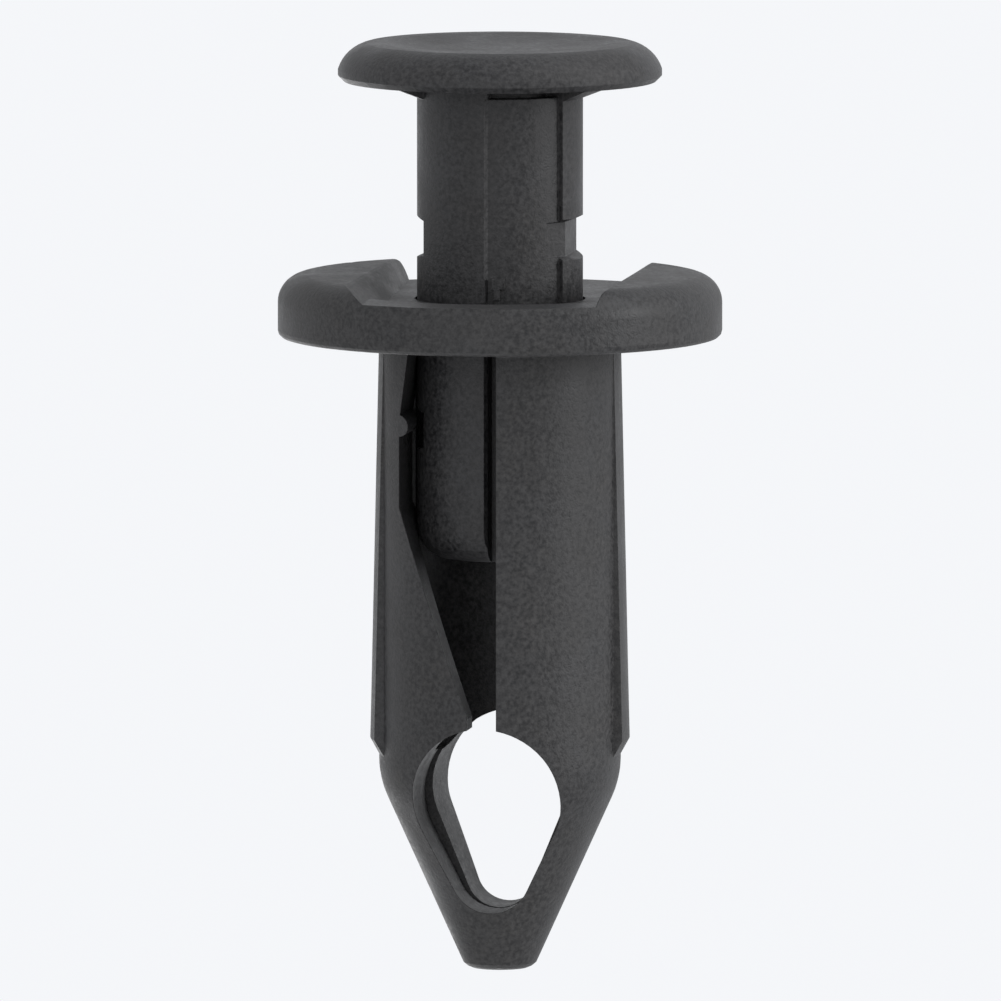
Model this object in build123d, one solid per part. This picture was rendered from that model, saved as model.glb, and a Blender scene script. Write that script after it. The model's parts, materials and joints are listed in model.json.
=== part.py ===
from build123d import *
import math
import os

# Plastic push rivet, two mouldings: a retainer body, whose split legs pass through the panel,
# and a push pin, which is pressed down the body's bore to spread the legs.
# Millimetres. The rivet stands on the head of its raised push pin with its tip up: the origin
# is the middle of the head's face, +Z runs to the tip, and the legs part along X.
# Heights are z in that frame. Every feature has a twin half a turn about Z from it, except
# the tip's opening and the flange's front rim, which differ from front (-Y) to back (+Y).

# push pin: head
HEAD_RADIUS = 6.56
HEAD_THICKNESS = 1.54
HEAD_SIDE = 0.48  # straight part of the side, next to the shank
HEAD_FACE_RADIUS = 5.4  # where the bevel meets the face
HEAD_BEVEL_BULGE = 0.15
HEAD_EDGE_ROUND = 0.24
DISH_RADIUS = 4.7
DISH_DEPTH = 0.32

# push pin: shank
SHANK_RADIUS = 3.36
SHANK_LENGTH = 19.38  # from the head to the end
SHANK_END_ROUND = 1.3
GUSSET_RADIUS = 4.75
GUSSET_HEIGHT = 0.66
GUSSET_FOOT = 0.12  # straight part next to the head
SIDE_HALF_ANGLE = 32.0  # of the plain sides that hold the gussets and the detents
PANEL_DEPTH = 0.22  # the sunk panels between two of the sides
PANEL_EDGE_SLOPE = 0.13  # width of the slope up from a panel to the ridge at its front edge
PANEL_START = 0.51  # below the head
RELIEF_DEPTH = 1.2  # the groove beside the ridge, further down than the lug
RELIEF_ANGLE = 20.0
RELIEF_START = 9.7  # below the head
UNDERCUT_DEPTH = 0.85  # the deeper groove between a panel and the head
DETENT_START = 5.34  # below the head: the locking pair
DETENT_LENGTH = 1.9
DETENT_SLOPE = 0.25  # run of a detent's sloped ends
DETENT_CORNER = 3.05  # from the axis, where a detent goes on round the corner into a panel
LUG_START = 7.76  # below the head, beside the edge of each panel
LUG_HEIGHT = 0.44  # of each of a lug's two steps
LUG_FIRST = (3.0, 12.0)  # where the first step starts and ends, in degrees from the panel's edge
LUG_SECOND = (4.5, 8.7)

# retainer body: flange, a thick disc that a shallow channel crosses from front to back
FLANGE_RADIUS = 9.0
SEAT_EDGE_ROUND = 0.3
PLATEAU_HEIGHT = 2.55  # of the two parts left beside the channel, above the panel's face
PLATEAU_ROUND = 1.13  # of their outer edge
CHANNEL_HALF_WIDTH = 5.25  # at the top
CHANNEL_FOOT_WIDE = 4.95  # half width of its floor, on the +X side at the back
CHANNEL_FOOT_NARROW = 3.9  # the same on the +X side at the front
CHANNEL_FOOT_REACH = 7.6  # where those two were taken, from the axis
CHANNEL_FLOOR_HEIGHT = 1.56
CHANNEL_EDGE_ROUND = 0.3
FRONT_RIM_HEIGHT = 1.93
FRONT_RIM_INNER = 6.8

# retainer body: stem
STEM_RADIUS = 4.9
STEM_LENGTH = 17.93  # panel's face to the cone
ROOT_MARGIN = 0.05  # the stem's root beyond its widest pad
ROOT_LENGTH = 0.4
CONE_LENGTH = 7.85
CONE_HALF_ANGLE = 24.4
CONE_SHOULDER_ROUND = 4.0
TIP_ROUND = 0.4
TIP_DOME = 0.12
BORE_CLEARANCE = 0.1
SLIT_WIDTH = 1.2
WINDOW_TOP_WIDTH = 3.12  # all three from the rivet's middle plane
WINDOW_WIDTH = 3.6
WINDOW_SHOULDER = 3.2  # below the panel's face
WINDOW_STRAIGHT_END = 6.7
WINDOW_END = 15.1
NUB_START = 2.93
NUB_LENGTH = 0.88
NUB_PROUD = 0.42
PAD_FRONT = 2.1  # how far the +X leg's pad reaches to the front, and to the back
PAD_BACK = 1.0
PAD_RADIUS = 5.26  # at its far end
PAD_LENGTH = 16.3
PAD_STEP = 0.65  # length of the slope back to the stem

# retainer body: opening across the tip
OPENING_RADIUS = 3.02
OPENING_CENTRE = 18.52  # below the panel's face
OPENING_FOOT_RADIUS = 1.64
OPENING_FOOT_CENTRE = 21.6
OPENING_BACK_STEP = 0.27  # narrower on both sides at the back, as high as at the front
SEAM_WIDTH = 0.3
SEAM_DEPTH = 0.22
SEAM_FRONT = 0.4  # in front of the middle plane

# how the two sit together
PIN_TRAVEL = 7.81  # from raised, as built, down to locked with the head on the plateaus
SEATING_GAP = 0.04  # left under the head when it is locked

SHANK_FOOT = HEAD_THICKNESS  # z where the shank leaves the head
PLATEAU_Z = SHANK_FOOT + PIN_TRAVEL + SEATING_GAP
SEAT_Z = PLATEAU_Z + PLATEAU_HEIGHT  # the face that meets the panel
BORE_RADIUS = SHANK_RADIUS + BORE_CLEARANCE
ROOT_RADIUS = max(STEM_RADIUS, PAD_RADIUS) + ROOT_MARGIN
CUT = 2 * FLANGE_RADIUS  # long enough to pass through everything


def turned(*edges):
    """The solid that a closed outline in the XZ plane makes when it turns about Z."""
    return revolve(make_face(Wire(edges)), Axis.Z)


def polyline(*points):
    """Straight edges through (x, z) points."""
    return Polyline(*[(x, 0, z) for x, z in points]).edges()


def arc(start, middle, end):
    """One arc through three (x, z) points."""
    return ThreePointArc(*[(x, 0, z) for x, z in (start, middle, end)]).edges()


def quarter(centre, radius, start_angle):
    """A quarter circle in the XZ plane, counted from +X towards +Z."""
    points = []
    for turn in (0, 45, 90):
        angle = math.radians(start_angle + turn)
        points.append((centre[0] + radius * math.cos(angle), centre[1] + radius * math.sin(angle)))
    return arc(*points)


def eased(corner, size, steps, towards_axis_first):
    """Points that round a square outer corner in flat steps, on a solid below the corner."""
    x, z = corner[0] - size, corner[1] - size
    points = []
    for step in range(steps + 1):
        angle = math.radians(90 * (1 - step / steps))
        points.append((x + size * math.cos(angle), z + size * math.sin(angle)))
    return points if towards_axis_first else points[::-1]


def wedge(start_angle, end_angle, z_low, z_high):
    """A slice of a disc about Z, between two angles counted from +X towards +Y."""
    middle = math.radians((start_angle + end_angle) / 2)
    reach = CUT / math.cos(math.radians((end_angle - start_angle) / 2))
    corners = [(0, 0)]
    for angle in (math.radians(start_angle), middle, math.radians(end_angle)):
        span = CUT if angle == middle else reach
        corners.append((span * math.cos(angle), span * math.sin(angle)))
    slice_face = make_face(Polyline(*corners, close=True))
    return extrude(Pos(0, 0, z_low) * slice_face, z_high - z_low)


def ring(outer, inner, z_low, z_high):
    """A plain tube about Z."""
    tube = Cylinder(outer, z_high - z_low) - Cylinder(inner, z_high - z_low)
    return Pos(0, 0, (z_low + z_high) / 2) * tube


def with_twin(shape):
    """The shape and its twin half a turn about Z from it."""
    return [shape, Rot(0, 0, 180) * shape]


def across(outline, y_low, y_high):
    """An outline of the XZ plane made solid between two places along Y."""
    return extrude(Pos(0, y_low, 0) * outline, y_high - y_low, dir=(0, 1, 0))


def make_push_pin():
    bevel_z = HEAD_THICKNESS - HEAD_SIDE
    bevel_middle = (
        (HEAD_FACE_RADIUS + HEAD_RADIUS) / 2 + HEAD_BEVEL_BULGE,
        bevel_z / 2 - HEAD_BEVEL_BULGE,
    )
    end_z = SHANK_FOOT + SHANK_LENGTH
    profile = (
        arc((0, DISH_DEPTH), (DISH_RADIUS / 2, 0.75 * DISH_DEPTH), (DISH_RADIUS, 0))
        + polyline((DISH_RADIUS, 0), (HEAD_FACE_RADIUS, 0))
        + arc((HEAD_FACE_RADIUS, 0), bevel_middle, (HEAD_RADIUS, bevel_z))
        + polyline(
            (HEAD_RADIUS, bevel_z),
            (HEAD_RADIUS, HEAD_THICKNESS - HEAD_EDGE_ROUND),
            (HEAD_RADIUS - HEAD_EDGE_ROUND, HEAD_THICKNESS),
            (SHANK_RADIUS, SHANK_FOOT),
            *eased((SHANK_RADIUS, end_z), SHANK_END_ROUND, 5, False),
            (0, end_z),
            (0, DISH_DEPTH),
        )
    )
    pin = turned(*profile)
    for side in (0, 180):
        pin += gusset() & wedge(side - SIDE_HALF_ANGLE, side + SIDE_HALF_ANGLE, 0, end_z)
    for cut in with_twin(sunk_panel(end_z)):
        pin -= cut
    for start in (DETENT_START, DETENT_START + PIN_TRAVEL):
        for cut in with_twin(detent(SHANK_FOOT + start)):
            pin -= cut
    return pin


def gusset():
    """The cone that stiffens the head, all the way round: only its two sides are used."""
    foot_z = SHANK_FOOT - GUSSET_FOOT
    return turned(
        *polyline(
            (0, foot_z),
            (GUSSET_RADIUS, foot_z),
            (GUSSET_RADIUS, SHANK_FOOT + GUSSET_FOOT),
            (SHANK_RADIUS, SHANK_FOOT + GUSSET_HEIGHT),
            (0, SHANK_FOOT + GUSSET_HEIGHT),
            (0, foot_z),
        )
    )


def sunk_panel(end_z):
    """What is cut from the shank's front right quarter, less the lug that is left standing."""
    first, last = 180 + SIDE_HALF_ANGLE, 270
    panel_z = SHANK_FOOT + PANEL_START
    panel = ring(SHANK_RADIUS + 1, SHANK_RADIUS - PANEL_DEPTH, panel_z, end_z + 1)
    panel &= wedge(first, last, panel_z, end_z + 1)
    undercut = ring(SHANK_RADIUS + 1, SHANK_RADIUS - UNDERCUT_DEPTH, SHANK_FOOT, panel_z)
    panel += undercut & wedge(first, last, SHANK_FOOT, panel_z)
    step_z = SHANK_FOOT + LUG_START
    for start, end in (LUG_FIRST, LUG_SECOND):
        panel -= wedge(last - end, last - start, step_z, step_z + LUG_HEIGHT)
        step_z += LUG_HEIGHT
    # the panel's front edge slopes up to the ridge
    foot_y, over = PANEL_DEPTH - SHANK_RADIUS, 1.0
    reach_x = PANEL_EDGE_SLOPE * (PANEL_DEPTH + over) / PANEL_DEPTH
    corners = ((0, foot_y), (0, -SHANK_RADIUS - over), (reach_x, -SHANK_RADIUS - over))
    slope = make_face(Polyline(*corners, close=True))
    panel += extrude(Pos(0, 0, panel_z) * slope, end_z + 1 - panel_z)
    relief_z = SHANK_FOOT + RELIEF_START
    relief = ring(SHANK_RADIUS + 1, SHANK_RADIUS - RELIEF_DEPTH, relief_z, end_z + 1)
    return panel + (relief & wedge(last - RELIEF_ANGLE, last, relief_z, end_z + 1))


def detent(start_z):
    """A pocket with a flat floor and sloped ends, across the shank's +X side and its corner."""
    end_z = start_z + DETENT_LENGTH
    cuts = []
    for turn, floor_x in (
        (0, SHANK_RADIUS * math.cos(math.radians(SIDE_HALF_ANGLE))),
        (SIDE_HALF_ANGLE, DETENT_CORNER),
    ):
        outline = make_face(
            Wire(
                polyline(
                    (floor_x, start_z + DETENT_SLOPE),
                    (SHANK_RADIUS + 1, start_z - DETENT_SLOPE),
                    (SHANK_RADIUS + 1, end_z + DETENT_SLOPE),
                    (floor_x, end_z - DETENT_SLOPE),
                    (floor_x, start_z + DETENT_SLOPE),
                )
            )
        )
        cuts.append(Rot(0, 0, turn) * across(outline, -SHANK_RADIUS, SHANK_RADIUS))
    return cuts[0] + cuts[1]


def make_retainer_body():
    body = flange() + stem()
    for strip in with_twin(pad()):
        body += strip
    for cut in with_twin(window()):
        body -= cut
    for nub in with_twin(window_nub()):
        body += nub & stem()
    body -= slit()
    body -= bore()
    body -= opening()
    return body


def flange():
    round_z = PLATEAU_Z + PLATEAU_ROUND
    profile = (
        polyline(
            (0, PLATEAU_Z),
            (0, SEAT_Z),
            *eased((FLANGE_RADIUS, SEAT_Z), SEAT_EDGE_ROUND, 3, True),
            (FLANGE_RADIUS, round_z),
        )
        + quarter((FLANGE_RADIUS - PLATEAU_ROUND, round_z), PLATEAU_ROUND, 270)
        + polyline((FLANGE_RADIUS - PLATEAU_ROUND, PLATEAU_Z), (0, PLATEAU_Z))
    )
    return turned(*profile) - channel()


def channel():
    """What is cut from the disc: each wall leans more at one of its ends than at the other."""
    full_depth = PLATEAU_HEIGHT - CHANNEL_FLOOR_HEIGHT
    lean = (CHANNEL_FOOT_WIDE - CHANNEL_FOOT_NARROW) / (2 * CHANNEL_FOOT_REACH) * CUT
    middle = (CHANNEL_FOOT_WIDE + CHANNEL_FOOT_NARROW) / 2
    soft = CHANNEL_EDGE_ROUND
    # depth below the plateaus, and how far the wall stands back there to ease its top edge
    steps = ((full_depth, 0), (0.55 * soft, 0), (0.17 * soft, 0.17 * soft), (0, 0.5 * soft), (-soft, 2.5 * soft))
    sections = []
    for depth, back in steps:
        corners = []
        for x, y in ((-1, -1), (1, -1), (1, 1), (-1, 1)):
            slant = CHANNEL_HALF_WIDTH - (middle + lean * x * y)
            corners.append((x * (CHANNEL_HALF_WIDTH - slant * depth / full_depth + back), y * CUT))
        sections.append(Pos(0, 0, PLATEAU_Z + depth) * make_face(Polyline(*corners, close=True)))
    rim_z = SEAT_Z - FRONT_RIM_HEIGHT
    front = Pos(0, -2 * CUT, SEAT_Z) * Box(4 * CUT, 4 * CUT, 4 * PLATEAU_HEIGHT)
    return loft(sections, ruled=True) - (ring(2 * CUT, FRONT_RIM_INNER, rim_z, SEAT_Z) & front)


def stem():
    cone_z = SEAT_Z + STEM_LENGTH
    tip_z = cone_z + CONE_LENGTH
    slope = math.tan(math.radians(CONE_HALF_ANGLE))
    tip_radius = STEM_RADIUS - (CONE_LENGTH - TIP_DOME) * slope
    # the tip's edge is eased in two steps, between the cone and the slightly domed end
    step = TIP_ROUND / 2
    profile = polyline(
        (0, SEAT_Z - 0.5),
        (ROOT_RADIUS, SEAT_Z - 0.5),
        (ROOT_RADIUS, SEAT_Z),
        (STEM_RADIUS, SEAT_Z + ROOT_LENGTH),
        (STEM_RADIUS, cone_z),
        (tip_radius + step * slope, tip_z - TIP_DOME - step),
        (tip_radius - 0.4 * step, tip_z - TIP_DOME - 0.3 * step),
        (tip_radius - 1.4 * step, tip_z - 0.8 * TIP_DOME),
        (0, tip_z),
        (0, SEAT_Z - 0.5),
    )
    shaft = turned(*profile)
    shoulder = [edge for edge in shaft.edges() if abs(edge.center().Z - cone_z) < 0.01]
    return fillet(shoulder, CONE_SHOULDER_ROUND)


def pad():
    """The thicker strip down the outside of the +X leg, which grips the back of the panel."""
    end_z = SEAT_Z + PAD_LENGTH
    profile = polyline(
        (0, SEAT_Z),
        (STEM_RADIUS, SEAT_Z),
        (PAD_RADIUS, end_z),
        (2 * STEM_RADIUS - PAD_RADIUS, end_z + 2 * PAD_STEP),  # goes on under the stem's skin
        (0, end_z + 2 * PAD_STEP),
        (0, SEAT_Z),
    )
    middle = (CUT / 2, (PAD_BACK - PAD_FRONT) / 2, (SEAT_Z + end_z) / 2)
    return turned(*profile) & Pos(*middle) * Box(CUT, PAD_FRONT + PAD_BACK, 2 * PAD_LENGTH)


def window():
    """The front of the +X leg cut away beside the slit, down to a slope that ends at the slit."""
    outline = make_face(
        Wire(
            polyline(
                (0, SEAT_Z),
                (WINDOW_TOP_WIDTH, SEAT_Z),
                (WINDOW_WIDTH, SEAT_Z + WINDOW_SHOULDER),
                (WINDOW_WIDTH, SEAT_Z + WINDOW_STRAIGHT_END),
                (SLIT_WIDTH / 2, SEAT_Z + WINDOW_END),
                (0, SEAT_Z + WINDOW_END),
                (0, SEAT_Z),
            )
        )
    )
    return across(outline, -CUT, 0)


def window_nub():
    """The small tooth on a window's long edge."""
    start_z = SEAT_Z + NUB_START
    middle_z = start_z + NUB_LENGTH / 2
    inner_x = WINDOW_WIDTH - NUB_PROUD
    outline = make_face(
        Wire(
            polyline((WINDOW_WIDTH + 0.2, start_z), (WINDOW_WIDTH, start_z))
            + arc(
                (WINDOW_WIDTH, start_z),
                (inner_x, middle_z),
                (WINDOW_WIDTH, start_z + NUB_LENGTH),
            )
            + polyline(
                (WINDOW_WIDTH, start_z + NUB_LENGTH),
                (WINDOW_WIDTH + 0.2, start_z + NUB_LENGTH),
                (WINDOW_WIDTH + 0.2, start_z),
            )
        )
    )
    return across(outline, -CUT / 2, -NUB_PROUD)


def slit():
    """The gap that parts the two legs, front and back, down to the tip's opening."""
    middle_z = SEAT_Z + OPENING_CENTRE / 2
    return Pos(0, 0, middle_z) * Box(SLIT_WIDTH, CUT, OPENING_CENTRE)


def bore():
    """Room for the shank down to its locked position, one clearance larger all round."""
    end_z = SHANK_FOOT + SHANK_LENGTH + PIN_TRAVEL + BORE_CLEARANCE
    profile = polyline(
        (0, PLATEAU_Z),
        (BORE_RADIUS, PLATEAU_Z),
        *eased((BORE_RADIUS, end_z), SHANK_END_ROUND, 3, False),
        (0, end_z),
        (0, PLATEAU_Z),
    )
    return turned(*profile)


def opening_outline(offset, longer=0):
    """Two circles joined by their tangents, with the slit's end above: round top, narrow foot."""
    top_z = SEAT_Z + OPENING_CENTRE - longer
    foot_z = SEAT_Z + OPENING_FOOT_CENTRE + longer
    top_radius = OPENING_RADIUS + offset
    foot_radius = OPENING_FOOT_RADIUS + offset
    lean = math.asin((top_radius - foot_radius) / (foot_z - top_z))
    top_x, top_touch = top_radius * math.cos(lean), top_z + top_radius * math.sin(lean)
    foot_x, foot_touch = foot_radius * math.cos(lean), foot_z + foot_radius * math.sin(lean)
    return make_face(
        Wire(
            arc((top_x, top_touch), (0, top_z - top_radius), (-top_x, top_touch))
            + polyline((-top_x, top_touch), (-foot_x, foot_touch))
            + arc((-foot_x, foot_touch), (0, foot_z + foot_radius), (foot_x, foot_touch))
            + polyline((foot_x, foot_touch), (top_x, top_touch))
        )
    )


def opening():
    """The tapered hole through the tip, with the groove where the two mould cores meet."""
    groove_front = -SEAM_FRONT
    groove_back = groove_front + SEAM_WIDTH
    hole = across(opening_outline(0), -CUT / 2, groove_front)
    hole += across(opening_outline(SEAM_DEPTH), groove_front, groove_back)
    narrower = opening_outline(-OPENING_BACK_STEP, OPENING_BACK_STEP)
    hole += across(narrower, groove_back, CUT / 2)
    return hole


os.makedirs("parts", exist_ok=True)
for node, shape in (("push_pin", make_push_pin()), ("retainer_body", make_retainer_body())):
    solids = shape.solids()
    print(node, len(solids), "solid", round(sum(s.volume for s in solids), 2), "mm3", shape.bounding_box())
    export_step(solids[0] if len(solids) == 1 else shape, f"parts/{node}.step")
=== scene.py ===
"""Looks of the plastic push rivet: black moulded plastic on a plain pale floor, in soft light."""

import json
import math

import bpy
from mathutils import Euler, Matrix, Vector


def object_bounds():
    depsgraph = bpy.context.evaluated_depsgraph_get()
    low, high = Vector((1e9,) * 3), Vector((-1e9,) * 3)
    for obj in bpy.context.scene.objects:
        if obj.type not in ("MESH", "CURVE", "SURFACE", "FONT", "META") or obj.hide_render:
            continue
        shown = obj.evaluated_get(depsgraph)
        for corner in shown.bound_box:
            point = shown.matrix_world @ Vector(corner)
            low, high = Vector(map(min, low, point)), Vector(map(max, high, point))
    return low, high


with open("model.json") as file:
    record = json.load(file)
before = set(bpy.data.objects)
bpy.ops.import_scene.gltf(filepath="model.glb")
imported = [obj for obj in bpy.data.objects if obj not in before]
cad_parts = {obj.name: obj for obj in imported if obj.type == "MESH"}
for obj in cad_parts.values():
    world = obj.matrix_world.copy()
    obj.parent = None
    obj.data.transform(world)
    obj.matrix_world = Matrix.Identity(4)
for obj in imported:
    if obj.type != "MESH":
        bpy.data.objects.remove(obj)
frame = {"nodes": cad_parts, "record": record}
cad_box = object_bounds()
panel_seat = frame["record"]["mounts"][0]  # the rivet's only mount
seat_height = panel_seat["pos_m"][2]

MM = 0.001

# camera: the object stands on its head, and is seen head up, so the camera is upside down
CAMERA_AZIMUTH = -9.0
CAMERA_ELEVATION = -5.7
CAMERA_ROLL = 180.0
CAMERA_DISTANCE = 1.2
CAMERA_CLIP = (0.01, 10.0)
SENSOR = 36.0
PICTURE_SIDE = 1001
PIXELS_PER_MM = 24.7
AXIS_COLUMN = 499.5  # picture column of the rivet's axis
SEAT_ROW = 336.0  # picture row of the middle of the flange's seat face

# plastic
PIN_COLOUR = (0.033, 0.033, 0.0345)
BODY_COLOUR = (0.033, 0.033, 0.034)
PIN_SEED, BODY_SEED = 0.3, 1.1  # where each moulding lies in the noise
PLASTIC_IOR = 1.37
CORNER_RADIUS = 0.06 * MM  # shading of the mouldings' sharp corners
CORNER_SAMPLES = 8

# patterns in the plastic: scale per metre, detail and roughness of each noise
CLOUD = (260.0, 5.0, 0.65)  # patches a few millimetres wide
MOTTLE = (5500.0, 2.0, 0.6)  # speckle about 0.2 mm wide
GRAIN = (11000.0, 1.0, 0.55)  # the finest grain

# how far the patterns change the plastic
CLOUD_RANGE = (0.32, 0.70)  # noise values that give the two tints below
COOL, WARM = (0.87, 0.88, 0.91), (1.13, 1.11, 1.09)
MOTTLE_RANGE = (0.33, 0.68)  # noise values that give the speckle's two shades
DARK_SPECK, PALE_SPECK = (0.42, 0.42, 0.43), (1.66, 1.65, 1.63)
SHEEN_RANGE = (0.75, 1.25)  # cloud and mottle together, from shiniest to dullest
SHINY, DULL = 0.42, 0.68  # roughness
MOTTLE_BUMP = (0.6, 0.03 * MM)  # strength and height
GRAIN_BUMP = (0.5, 0.015 * MM)

# stage
FLOOR_RADIUS = 0.6
FLOOR_CORNERS = 96
FLOOR_DROP = 0.03 * MM  # keeps the floor and the head's face apart
FLOOR_COLOUR = (0.60, 0.61, 0.63)
FLOOR_GLOW = 0.45  # only a camera above the floor sees it: it lights nothing
BACKDROP_COLOUR = (0.913, 0.925, 0.95)
ROOM_COLOUR = (1, 1, 1)
ROOM_LIGHT = 0.45

# lamps: name, azimuth, elevation, distance, size and power
LAMPS = (
    ("right", -84.0, -12.0, 0.5, 0.20, 1.15),
    ("left", 85.0, -15.0, 0.5, 0.30, 0.10),
    ("front", 8.0, -6.0, 0.6, 0.30, 0.55),
    ("low", -80.0, -55.0, 0.5, 0.35, 0.80),
    ("back", 150.0, 30.0, 0.6, 0.40, 0.80),
    ("top", 20.0, 75.0, 0.6, 0.40, 0.60),
)


def towards(azimuth, elevation):
    """The unit vector to a place round the rivet. Azimuth 0 is -Y, and 90 is +X."""
    a, e = math.radians(azimuth), math.radians(elevation)
    return Vector((math.sin(a) * math.cos(e), -math.cos(a) * math.cos(e), math.sin(e)))


def new_material(name):
    material = bpy.data.materials.new(name)
    material.use_nodes = True
    material.node_tree.nodes.clear()
    return material, material.node_tree.nodes, material.node_tree.links


def largest(nodes, links, first, others):
    """The largest of several factors, as one output."""
    for other in others:
        larger = nodes.new("ShaderNodeMath")
        larger.operation = "MAXIMUM"
        links.new(first, larger.inputs[0])
        links.new(other, larger.inputs[1])
        first = larger.outputs["Value"]
    return first


def moulded_plastic(name, colour, seed):
    """Black nylon: spark-eroded grain, faint mottling, soft corners and an uneven sheen."""
    material, nodes, links = new_material(name)
    out = nodes.new("ShaderNodeOutputMaterial")
    shader = nodes.new("ShaderNodeBsdfPrincipled")
    shader.inputs["IOR"].default_value = PLASTIC_IOR
    links.new(shader.outputs["BSDF"], out.inputs["Surface"])
    place = nodes.new("ShaderNodeTexCoord")
    shift = nodes.new("ShaderNodeMapping")
    shift.inputs["Location"].default_value = (seed, 2 * seed, 3 * seed)
    links.new(place.outputs["Object"], shift.inputs["Vector"])

    def noise(scale, detail, roughness):
        node = nodes.new("ShaderNodeTexNoise")
        node.inputs["Scale"].default_value = scale
        node.inputs["Detail"].default_value = detail
        node.inputs["Roughness"].default_value = roughness
        links.new(shift.outputs["Vector"], node.inputs["Vector"])
        return node.outputs["Fac"]

    def ramp(value, positions, start, end):
        node = nodes.new("ShaderNodeValToRGB")
        stops = node.color_ramp.elements
        stops[0].position, stops[1].position = positions
        stops[0].color, stops[1].color = (*start, 1), (*end, 1)
        links.new(value, node.inputs["Fac"])
        return node.outputs["Color"]

    def tinted(tint):
        return [channel * part for channel, part in zip(colour, tint)]

    cloud = noise(*CLOUD)
    mottle = noise(*MOTTLE)
    grain = noise(*GRAIN)

    # colour: the clouds drift between two tints, and the speckle lies over them
    speckled = nodes.new("ShaderNodeMix")
    speckled.data_type = "RGBA"
    speckled.blend_type = "MULTIPLY"
    speckled.inputs["Factor"].default_value = 1.0
    links.new(ramp(cloud, CLOUD_RANGE, tinted(COOL), tinted(WARM)), speckled.inputs["A"])
    links.new(ramp(mottle, MOTTLE_RANGE, DARK_SPECK, PALE_SPECK), speckled.inputs["B"])
    links.new(speckled.outputs["Result"], shader.inputs["Base Color"])

    # sheen: the same clouds and speckle, so that faces seen edge on look grained too
    both = nodes.new("ShaderNodeMath")
    both.operation = "ADD"
    links.new(cloud, both.inputs[0])
    links.new(mottle, both.inputs[1])
    sheen = nodes.new("ShaderNodeMapRange")
    sheen.inputs["From Min"].default_value, sheen.inputs["From Max"].default_value = SHEEN_RANGE
    sheen.inputs["To Min"].default_value = SHINY
    sheen.inputs["To Max"].default_value = DULL
    links.new(both.outputs["Value"], sheen.inputs["Value"])
    links.new(sheen.outputs["Result"], shader.inputs["Roughness"])

    # moulded corners are never quite sharp, so they catch a thin line of light
    corner = nodes.new("ShaderNodeBevel")
    corner.samples = CORNER_SAMPLES
    corner.inputs["Radius"].default_value = CORNER_RADIUS
    normal = corner.outputs["Normal"]
    for pattern, (strength, height) in ((mottle, MOTTLE_BUMP), (grain, GRAIN_BUMP)):
        bump = nodes.new("ShaderNodeBump")
        bump.inputs["Strength"].default_value = strength
        bump.inputs["Distance"].default_value = height
        links.new(pattern, bump.inputs["Height"])
        links.new(normal, bump.inputs["Normal"])
        normal = bump.outputs["Normal"]
    links.new(normal, shader.inputs["Normal"])
    return material


def dress(node, material):
    piece = frame["nodes"][node]
    piece.data.materials.clear()
    piece.data.materials.append(material)


def floor_material():
    """Pale paper to a camera above it, and clear from below and to every ray of light."""
    material, nodes, links = new_material("floor")
    out = nodes.new("ShaderNodeOutputMaterial")
    paper = nodes.new("ShaderNodeBsdfDiffuse")
    paper.inputs["Color"].default_value = (*FLOOR_COLOUR, 1)
    glow = nodes.new("ShaderNodeEmission")
    glow.inputs["Color"].default_value = (*BACKDROP_COLOUR, 1)
    glow.inputs["Strength"].default_value = FLOOR_GLOW
    sheet = nodes.new("ShaderNodeAddShader")
    links.new(paper.outputs["BSDF"], sheet.inputs[0])
    links.new(glow.outputs["Emission"], sheet.inputs[1])
    clear = nodes.new("ShaderNodeBsdfTransparent")
    geometry = nodes.new("ShaderNodeNewGeometry")
    path = nodes.new("ShaderNodeLightPath")
    rays = [path.outputs[ray] for ray in ("Is Shadow Ray", "Is Diffuse Ray", "Is Glossy Ray")]
    mix = nodes.new("ShaderNodeMixShader")
    links.new(largest(nodes, links, geometry.outputs["Backfacing"], rays), mix.inputs["Fac"])
    links.new(sheet.outputs["Shader"], mix.inputs[1])
    links.new(clear.outputs["BSDF"], mix.inputs[2])
    links.new(mix.outputs["Shader"], out.inputs["Surface"])
    return material


def make_floor():
    """A round floor just under the head's face."""
    mesh = bpy.data.meshes.new("floor")
    turns = [2 * math.pi * k / FLOOR_CORNERS for k in range(FLOOR_CORNERS)]
    points = [(FLOOR_RADIUS * math.cos(turn), FLOOR_RADIUS * math.sin(turn), 0) for turn in turns]
    mesh.from_pydata(points, [], [tuple(range(FLOOR_CORNERS))])
    mesh.materials.append(floor_material())
    floor = bpy.data.objects.new("floor", mesh)
    floor.location.z = -FLOOR_DROP
    bpy.context.scene.collection.objects.link(floor)


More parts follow.
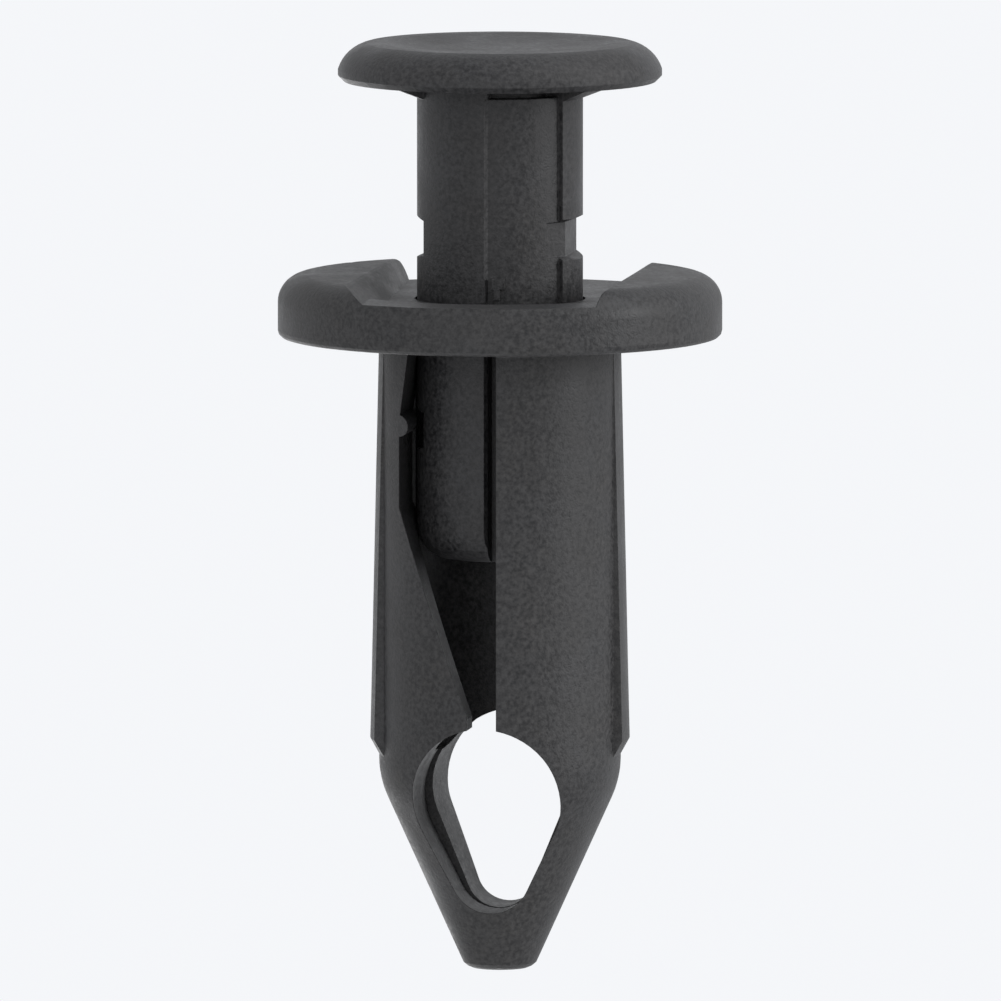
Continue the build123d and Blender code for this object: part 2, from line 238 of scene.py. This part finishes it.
def make_world():
    """The camera and the reflections see the white backdrop. The rest gives plain light."""
    world = bpy.data.worlds.new("studio")
    bpy.context.scene.world = world
    world.use_nodes = True
    nodes, links = world.node_tree.nodes, world.node_tree.links
    nodes.clear()
    out = nodes.new("ShaderNodeOutputWorld")
    backdrop = nodes.new("ShaderNodeBackground")
    backdrop.inputs["Color"].default_value = (*BACKDROP_COLOUR, 1)
    backdrop.inputs["Strength"].default_value = 1.0
    room = nodes.new("ShaderNodeBackground")
    room.inputs["Color"].default_value = (*ROOM_COLOUR, 1)
    room.inputs["Strength"].default_value = ROOM_LIGHT
    path = nodes.new("ShaderNodeLightPath")
    rays = [path.outputs[ray] for ray in ("Is Glossy Ray", "Is Transmission Ray")]
    mix = nodes.new("ShaderNodeMixShader")
    links.new(largest(nodes, links, path.outputs["Is Camera Ray"], rays), mix.inputs["Fac"])
    links.new(room.outputs["Background"], mix.inputs[1])
    links.new(backdrop.outputs["Background"], mix.inputs[2])
    links.new(mix.outputs["Shader"], out.inputs["Surface"])


def make_lamp(name, azimuth, elevation, distance, size, power):
    """A square soft box that faces the middle of the rivet."""
    data = bpy.data.lights.new(name, "AREA")
    data.size = size
    data.energy = power
    lamp = bpy.data.objects.new(name, data)
    bpy.context.scene.collection.objects.link(lamp)
    back = towards(azimuth, elevation)
    lamp.location = (cad_box[0] + cad_box[1]) / 2 + back * distance
    lamp.rotation_mode = "QUATERNION"
    lamp.rotation_quaternion = (-back).to_track_quat("-Z", "Y")


def make_camera():
    """A long lens at the photograph's angle, aimed so that the axis and the seat lie as there."""
    data = bpy.data.cameras.new("camera")
    data.sensor_width = SENSOR
    data.lens = SENSOR * CAMERA_DISTANCE / (PICTURE_SIDE / PIXELS_PER_MM * MM)
    data.clip_start, data.clip_end = CAMERA_CLIP
    camera = bpy.data.objects.new("camera", data)
    bpy.context.scene.collection.objects.link(camera)
    back = towards(CAMERA_AZIMUTH, CAMERA_ELEVATION)
    roll = Euler((0, 0, math.radians(CAMERA_ROLL))).to_quaternion()
    turn = (-back).to_track_quat("-Z", "Y") @ roll
    picture_right = turn @ Vector((1, 0, 0))
    picture_up = turn @ Vector((0, 1, 0))
    middle = (PICTURE_SIDE - 1) / 2
    aim = Vector((0, 0, seat_height))
    aim += picture_right * ((middle - AXIS_COLUMN) / PIXELS_PER_MM * MM)
    aim += picture_up * ((SEAT_ROW - middle) / PIXELS_PER_MM * MM)
    camera.location = aim + back * CAMERA_DISTANCE
    camera.rotation_mode = "QUATERNION"
    camera.rotation_quaternion = turn
    bpy.context.scene.camera = camera


dress("push_pin", moulded_plastic("pin_plastic", PIN_COLOUR, PIN_SEED))
dress("retainer_body", moulded_plastic("body_plastic", BODY_COLOUR, BODY_SEED))
make_floor()
make_world()
make_camera()
for lamp in LAMPS:
    make_lamp(*lamp)
bpy.context.scene.view_settings.view_transform = "Standard"
